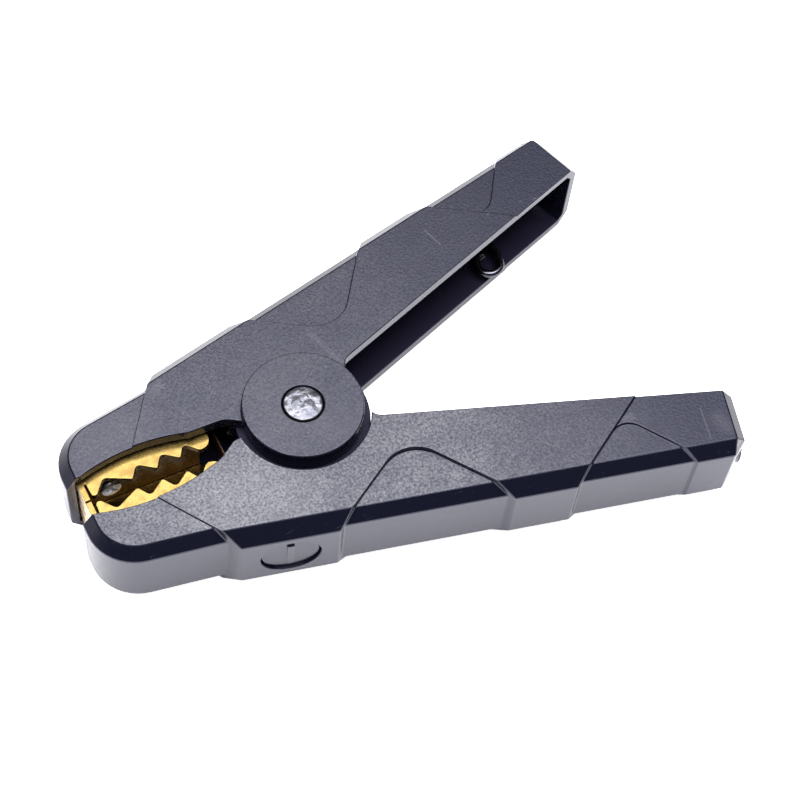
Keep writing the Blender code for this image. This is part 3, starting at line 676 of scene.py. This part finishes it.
def braid_lug(name):
    """Flat ring terminal with a crimped barrel, clamped under the cable bolt's nut."""
    low, high = LUG_DEPTH + 0.05, LUG_DEPTH + 0.95
    lug = turned(name, [(4.35, low), (4.5, low + 0.15), (4.5, high - 0.15), (4.35, high)], 48)
    barrel = block("barrel", (-6.6, -3.3, low - 0.15), (-3.4, 3.3, high + 0.15))
    combine(lug, barrel, "UNION")
    hole = turned("hole", [(2.65, low - 1.0), (2.65, high + 1.0)], 40)
    combine(lug, hole, "DIFFERENCE")
    round_edges(lug, 0.16, 30.0, 2)
    return lug


def make_half(half):
    """Pieces of one half, riding on its body."""
    body = half + "_half"
    turn = TURNS[half]
    shell = refined(half + "_shell", "Casing_" + half, 0.30)
    dress(shell, PLASTIC[half], body, half + "_shell")
    plug = bolt_plug("Bolt_Plug_" + half)
    shade(plug)
    level_faces(plug)
    place(plug, turn @ BOLT)
    dress(plug, PLASTIC[half], body, half + "_bolt_plug")
    jaw = refined(half + "_jaw", "Jaw_" + half, 0.20, 40.0)
    dress(jaw, BRASS, body, half + "_jaw")
    washer = refined(half + "_bolt_washer", "Bolt_Washer_" + half, 0.15)
    dress(washer, ZINC, body, half + "_bolt_washer")
    lock = LOCK_WASHER_DEPTH
    made = [
        (cable_bolt("Cable_Bolt_" + half), BOLT, ZINC, "cable_bolt"),
        (hex_nut("Bolt_Nut_" + half, lock + 1.5, lock + 5.1, 4.6), BOLT, ZINC, "bolt_nut"),
        (lock_washer("Lock_Washer_" + half, lock, 4.3, BOLT_R + 0.3), BOLT, ZINC, "lock_washer"),
        (jaw_screw("Jaw_Screw_" + half), SCREW, ZINC, "jaw_screw"),
    ]
    for thing, axis, material, node in made:
        shade(thing)
        place(thing, turn @ axis)
        dress(thing, material, body, half + "_" + node)
    lug = braid_lug("Braid_Lug_" + half)
    shade(lug)
    place(lug, turn @ BOLT)
    dress(lug, COPPER, body)


# ---------------------------------------------------------------- pieces on the pivot
def hammered(spot):
    """Dent the rivet's faces as a hammer leaves them."""
    face = max(0.0, min(1.0, (abs(spot.z) - 13.25) / 0.7))
    share = face if spot.z > 0.0 else 0.0
    place_on = Vector((spot.x, spot.y, 0.0))
    dents = noise.noise(place_on * 0.60 + Vector((3.1, 0.4, 0.0))) * 0.20
    near = noise.voronoi(place_on * 0.70)[0]
    dents += (near[1] - near[0]) * 0.07 - 0.08
    dents += noise.noise(place_on * 2.1) * 0.035
    return spot + Vector((0.0, 0.0, min(0.06, dents) * share))


def pivot_rivet():
    """Rivet with a hammered dome on top and a rolled, peened end below."""
    head = [(4.1, 11.35), (4.47, 11.42), (4.57, 11.6)]
    head += arc((4.12, 13.70), 0.45, 0.0, 65.0, 6)
    for step in range(1, 37):
        share = 1.0 - step / 36.0
        head.append((4.31 * share, 14.11 + 0.40 * (1.0 - share ** 2.6)))
    tail = [(0.0, -13.35), (1.2, -13.3), (2.1, -13.42), (2.6, -13.55), (3.1, -13.52)]
    tail += [(3.6, -13.3), (3.85, -13.0), (3.88, -12.7), (2.9, -12.62), (2.9, 11.3)]
    rivet = turned("Pivot_Rivet", tail + head, 96, hammered)
    shade(rivet, 40.0)
    place(rivet)
    dress(rivet, RIVET, "lower_half", "pivot_rivet")
    for node, name in (("rivet_washer", "Rivet_Washer"), ("pivot_sleeve", "Pivot_Sleeve")):
        piece = refined(node, name, 0.15)
        dress(piece, ZINC, "lower_half", node)


def half_spring():
    """Centreline from the middle of the coil to the curled end in the upper handle."""
    side = direction(LEG_ANGLE + 90.0)
    half_turn = 720.0 - (LEG_ANGLE + 90.0)
    path = []
    for step in range(97):
        share = step / 96
        spot = direction(LEG_ANGLE + 90.0 + half_turn * (1.0 - share)) * COIL_R
        path.append(spot + Vector((0.0, 0.0, -COIL_Z * share)))
    leg = side * COIL_R + direction(LEG_ANGLE) * 20.0
    path.append(leg + Vector((0.0, 0.0, -COIL_Z)))
    # The bend between the leg and the curl touches both, which settles its radius
    inward = direction(-20.0)
    lean = side.dot(inward)
    bend_r = (COIL_R - side.dot(CURL) - CURL_R * lean) / (1.0 - lean)
    bend = CURL - inward * (bend_r - CURL_R)
    path.append(bend + side * bend_r + Vector((0.0, 0.0, CURL_Z)))
    for step in range(1, 37):
        spot = bend + direction(LEG_ANGLE + 90.0 - (LEG_ANGLE + 110.0) * step / 36) * bend_r
        path.append(spot + Vector((0.0, 0.0, CURL_Z)))
    for step in range(1, 41):
        spot = CURL + direction(-20.0 - 250.0 * step / 40) * CURL_R
        path.append(spot + Vector((0.0, 0.0, CURL_Z)))
    return path


def torsion_spring():
    half = half_spring()
    line = [Vector((spot.x, -spot.y, -spot.z)) for spot in half[:0:-1]] + half
    spring = tube("Torsion_Spring", smooth_path(line, 0.7, 3), 0.98)
    shade(spring, 50.0)
    place(spring)
    dress(spring, SPRING, None, "torsion_spring")
    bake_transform(spring)


def braid_height(along, across):
    """How far a woven strand stands out, for a flat braid of crossing strands."""
    width = 1.15
    first, second = (along + across) / width, (along - across) / width
    over = (math.floor(first) + math.floor(second)) % 2
    ridge_a = math.sin(math.pi * (first % 1.0))
    ridge_b = math.sin(math.pi * (second % 1.0))
    if over:
        return ridge_a * (0.55 + 0.45 * ridge_b)
    return ridge_b * (0.55 + 0.45 * ridge_a)


def bonding_braid():
    """Flat woven braid from one lug round in front of the coil to the other."""
    depth = LUG_DEPTH + 0.5
    upper = [BOLT @ Vector((-4.6, 0.0, depth)), BOLT @ Vector((-5.6, 0.0, depth))]
    upper += [Vector((-18.6, 11.4, 0.0)), Vector((-19.0, 8.6, 0.0)), Vector((-19.1, 4.0, 0.0))]
    line = smooth_path(upper + [Vector((spot.x, -spot.y, 0.0)) for spot in reversed(upper)], 0.2, 14)
    rings, travelled = [], 0.0
    around = 64
    for index, here in enumerate(line):
        before, after = line[max(index - 1, 0)], line[min(index + 1, len(line) - 1)]
        along = (after - before).normalized()
        side = Vector((-along.y, along.x, 0.0))
        travelled += (here - before).length
        ring = []
        for step in range(around):
            turn = 2.0 * math.pi * step / around
            wide = math.copysign(abs(math.cos(turn)) ** 0.75, math.cos(turn)) * 3.35
            thick = math.copysign(abs(math.sin(turn)) ** 0.5, math.sin(turn))
            stand = 0.27 + 0.20 * braid_height(travelled, wide)
            ring.append(here + side * thick * stand + Vector((0.0, 0.0, wide)))
        rings.append(ring)
    braid = rings_object("Bonding_Braid", rings)
    shade(braid, 60.0)
    place(braid)
    dress(braid, COPPER, None, "bonding_braid")
    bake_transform(braid)


for half_name in ("upper", "lower"):
    make_half(half_name)
pivot_rivet()
torsion_spring()
bonding_braid()


# ---------------------------------------------------------------- floor, light and camera
def floor():
    """Pale floor that glows for the camera alone and is clear from below."""
    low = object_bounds()[0].z - 0.0001
    half = 4.0
    corners = [(-half, -half, low), (half, -half, low), (half, half, low), (-half, half, low)]
    plane = mesh_object("Floor", corners, [(0, 1, 2, 3)])
    net = Net("Pale_Floor")
    tone = net.remap(net.noise(0.02, 2.0), 0.3, 0.7, 0.0, 1.0)
    colour = net.mix(tone, (0.90, 0.90, 0.90), (0.92, 0.92, 0.92))
    surface = net.finish(Base_Color=colour, Roughness=0.7)
    shader = next(node for node in net.tree.nodes if node.type == "BSDF_PRINCIPLED")
    seen = net.node("LightPath").outputs["Is Camera Ray"]
    net.tree.links.new(net.math("MULTIPLY", seen, 0.9), shader.inputs["Emission Strength"])
    shader.inputs["Emission Color"].default_value = (1.0, 1.0, 1.0, 1.0)
    below = net.node("NewGeometry").outputs["Backfacing"]
    net.tree.links.new(net.math("SUBTRACT", 1.0, below), shader.inputs["Alpha"])
    plane.data.materials.append(surface)
    plane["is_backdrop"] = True


def sun(name, tilt, azimuth, angle, strength, colour):
    """Distant soft light; tilt is from the zenith and azimuth from +X."""
    lamp = bpy.data.lights.new(name, "SUN")
    lamp.angle = math.radians(angle)
    lamp.energy = strength
    lamp.color = colour
    thing = bpy.data.objects.new(name, lamp)
    bpy.context.scene.collection.objects.link(thing)
    lean = math.radians(tilt)
    towards = direction(azimuth) * math.sin(lean) + Vector((0.0, 0.0, math.cos(lean)))
    thing.rotation_mode = "QUATERNION"
    thing.rotation_quaternion = towards.to_track_quat("Z", "Y")


def world():
    """Dark surroundings for the reflections, a soft fill, and a pale backdrop for the camera."""
    surroundings = bpy.data.worlds.new("Studio")
    bpy.context.scene.world = surroundings
    surroundings.use_nodes = True
    tree = surroundings.node_tree
    tree.nodes.clear()
    seen = tree.nodes.new("ShaderNodeLightPath")
    result = None
    layers = [(None, 0.05, 0.82), ("Is Diffuse Ray", 0.40, 0.90), ("Is Camera Ray", 1.0, 0.97)]
    for ray, strength, tint in layers:
        tone = tree.nodes.new("ShaderNodeBackground")
        tone.inputs["Color"].default_value = (tint, (tint + 0.97) / 2.0, 0.97, 1.0)
        tone.inputs["Strength"].default_value = strength
        if ray is None:
            result = tone.outputs[0]
            continue
        mix = tree.nodes.new("ShaderNodeMixShader")
        tree.links.new(seen.outputs[ray], mix.inputs[0])
        tree.links.new(result, mix.inputs[1])
        tree.links.new(tone.outputs[0], mix.inputs[2])
        result = mix.outputs[0]
    output = tree.nodes.new("ShaderNodeOutputWorld")
    tree.links.new(result, output.inputs["Surface"])


def camera():
    """Camera looking down on the clamp from the lower half's side."""
    azimuth, elevation, roll = (math.radians(angle) for angle in CAMERA_ANGLES)
    target = PIVOT + CAMERA_TARGET * MM
    level = Vector((math.sin(azimuth), -math.cos(azimuth), 0.0))
    back = level * math.cos(elevation) + Vector((0.0, 0.0, math.sin(elevation)))
    right = Vector((0.0, 0.0, 1.0)).cross(back).normalized()
    up = back.cross(right)
    rolled = right * math.cos(roll) + up * math.sin(roll)
    upright = up * math.cos(roll) - right * math.sin(roll)
    lens = bpy.data.cameras.new("Camera")
    lens.sensor_width = 36.0
    lens.lens = CAMERA_LENS
    lens.clip_start = 0.01
    thing = bpy.data.objects.new("Camera", lens)
    bpy.context.scene.collection.objects.link(thing)
    turn = Matrix((rolled, upright, back)).transposed().to_4x4()
    thing.matrix_world = Matrix.Translation(target + back * CAMERA_DISTANCE) @ turn
    bpy.context.scene.camera = thing


floor()
sun("Overhead_Softbox", 3.0, 60.0, 60.0, 8.4, (0.965, 0.955, 1.0))
world()
camera()
bpy.context.scene.view_settings.view_transform = "Standard"
